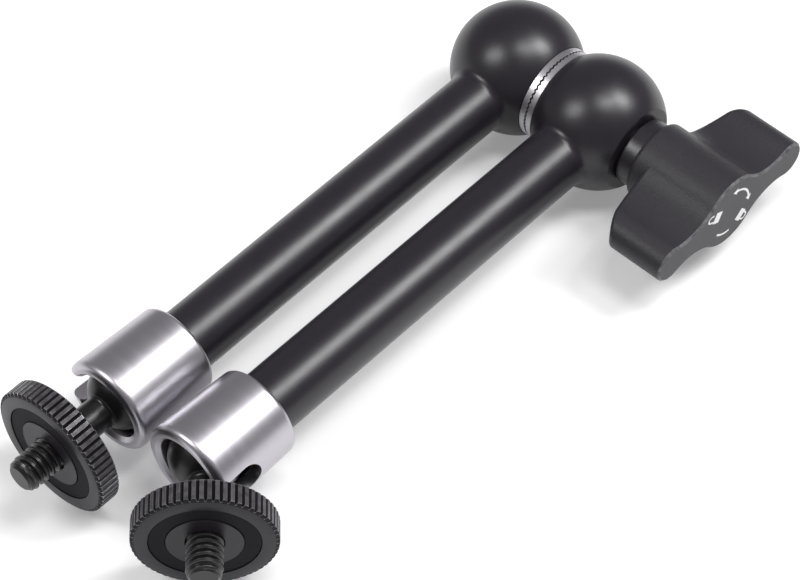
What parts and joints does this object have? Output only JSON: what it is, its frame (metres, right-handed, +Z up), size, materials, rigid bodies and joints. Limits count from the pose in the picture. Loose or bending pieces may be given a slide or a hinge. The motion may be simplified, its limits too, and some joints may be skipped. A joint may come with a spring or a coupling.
{
  "type": "articulating friction arm",
  "caption": "Folding two-section friction arm: a wing knob at the toothed elbow locks the elbow and both end balls, each with a 1/4 inch camera stud and a knurled thumb wheel.",
  "frame": {"origin": "middle of the folded arm's bounding box, on the plane that the hubs and thumb wheels rest on", "axes": "+X along the elbow axis towards the wing knob, -Y along the folded arms towards the studs, +Z up from the table"},
  "size_m": [0.0634, 0.146, 0.0251],
  "materials": {
    "black_anodised": "satin black anodised",
    "bright_steel": "satin",
    "satin_nickel": "satin nickel plate",
    "black_oxide": "black oxide",
    "black_wheel": "matte black anodised",
    "rubber_pad": "matte",
    "black_knob": "fine-grained black coat",
    "brass": "plain",
    "nylon": "matte",
    "plain_steel": "plain turned"
  },
  "bodies": {
    "near_arm": {"near_arm": "black_anodised", "near_tooth_ring": "bright_steel", "near_socket": "satin_nickel"},
    "collar": {"knob_collar": "black_knob", "thrust_washer": "nylon", "near_wedge": "plain_steel"},
    "knob": {"wing_knob": "black_knob", "knob_insert": "brass"},
    "bolt": {"centre_bolt": "plain_steel"},
    "sleeve": {"pivot_sleeve": "brass", "release_spring": "plain_steel"},
    "far_arm": {"far_arm": "black_anodised", "far_tooth_ring": "bright_steel", "far_socket": "satin_nickel"},
    "far_wedge": {"far_wedge": "plain_steel"},
    "near_pusher": {"near_push_rod": "plain_steel", "near_ball_cup": "brass"},
    "far_pusher": {"far_push_rod": "plain_steel", "far_ball_cup": "brass"},
    "near_ball": {"near_ball": "black_oxide"},
    "near_stud": {"near_stud": "black_oxide"},
    "near_pad": {"near_pad_ring": "rubber_pad"},
    "near_wheel": {"near_thumb_wheel": "black_wheel"},
    "far_ball": {"far_ball": "black_oxide"},
    "far_stud": {"far_stud": "black_oxide"},
    "far_pad": {"far_pad_ring": "rubber_pad"},
    "far_wheel": {"far_thumb_wheel": "black_wheel"}
  },
  "joints": [
    {"name": "collar_slide", "type": "slide", "parent": "near_arm", "child": "collar", "axis": [1, 0, 0], "range_m": [-0.000376, 0.000151]},
    {"name": "knob_turn", "type": "hinge", "parent": "collar", "child": "knob", "pos_m": [0.0227, 0.05305, 0.01255], "axis": [1, 0, 0], "range_deg": [-451, 181]},
    {"name": "bolt_slide", "type": "slide", "parent": "near_arm", "child": "bolt", "axis": [1, 0, 0], "range_m": [-0.00025, 0.000625]},
    {"name": "elbow_close", "type": "slide", "parent": "near_arm", "child": "sleeve", "axis": [1, 0, 0], "range_m": [-0.000101, 0.000251], "deforming": ["release_spring"]},
    {"name": "elbow_turn", "type": "hinge", "parent": "sleeve", "child": "far_arm", "pos_m": [-0.00937, 0.05305, 0.01255], "axis": [1, 0, 0], "continuous": true},
    {"name": "far_wedge_slide", "type": "slide", "parent": "far_arm", "child": "far_wedge", "axis": [1, 0, 0], "range_m": [-0.000151, 0.000376]},
    {"name": "near_push", "type": "slide", "parent": "near_arm", "child": "near_pusher", "axis": [0, -1, 0], "range_m": [-0.000106, 0.000264]},
    {"name": "far_push", "type": "slide", "parent": "far_arm", "child": "far_pusher", "axis": [0, -1, 0], "range_m": [-0.000106, 0.000264]},
    {"name": "near_fold", "type": "hinge", "parent": "near_arm", "child": "near_ball", "pos_m": [0.00042, -0.04825, 0.01255], "axis": [0, 0, 1], "range_deg": [-22, 46]},
    {"name": "near_spin", "type": "hinge", "parent": "near_ball", "child": "near_stud", "pos_m": [0.00042, -0.04825, 0.01255], "axis": [0.6947, -0.7193, 0], "continuous": true},
    {"name": "near_wheel_travel", "type": "slide", "parent": "near_stud", "child": "near_pad", "axis": [0.6947, -0.7193, 0], "range_m": [0, 0.00445]},
    {"name": "near_wheel_turn", "type": "hinge", "parent": "near_pad", "child": "near_wheel", "pos_m": [0.00042, -0.04825, 0.01255], "axis": [0.6947, -0.7193, 0], "range_deg": [-1, 1261]},
    {"name": "far_fold", "type": "hinge", "parent": "far_arm", "child": "far_ball", "pos_m": [-0.01918, -0.04825, 0.01255], "axis": [0, 0, -1], "range_deg": [-25, 90]},
    {"name": "far_spin", "type": "hinge", "parent": "far_ball", "child": "far_stud", "pos_m": [-0.01918, -0.04825, 0.01255], "axis": [0, -1, 0], "continuous": true},
    {"name": "far_wheel_travel", "type": "slide", "parent": "far_stud", "child": "far_pad", "axis": [0, -1, 0], "range_m": [0, 0.00445]},
    {"name": "far_wheel_turn", "type": "hinge", "parent": "far_pad", "child": "far_wheel", "pos_m": [-0.01918, -0.04825, 0.01255], "axis": [0, -1, 0], "range_deg": [-1, 1261]}
  ],
  "couplings": [
    {"joint": "knob_turn", "follows": "bolt_slide", "rad_per_m": -12566},
    {"joint": "collar_slide", "follows": "bolt_slide", "ratio": -0.6},
    {"joint": "elbow_close", "follows": "bolt_slide", "ratio": 0.4},
    {"joint": "far_wedge_slide", "follows": "bolt_slide", "ratio": 0.6},
    {"joint": "near_push", "follows": "bolt_slide", "ratio": 0.42},
    {"joint": "far_push", "follows": "bolt_slide", "ratio": 0.42},
    {"joint": "near_wheel_turn", "follows": "near_wheel_travel", "rad_per_m": 4947.4},
    {"joint": "far_wheel_turn", "follows": "far_wheel_travel", "rad_per_m": 4947.4}
  ]
}
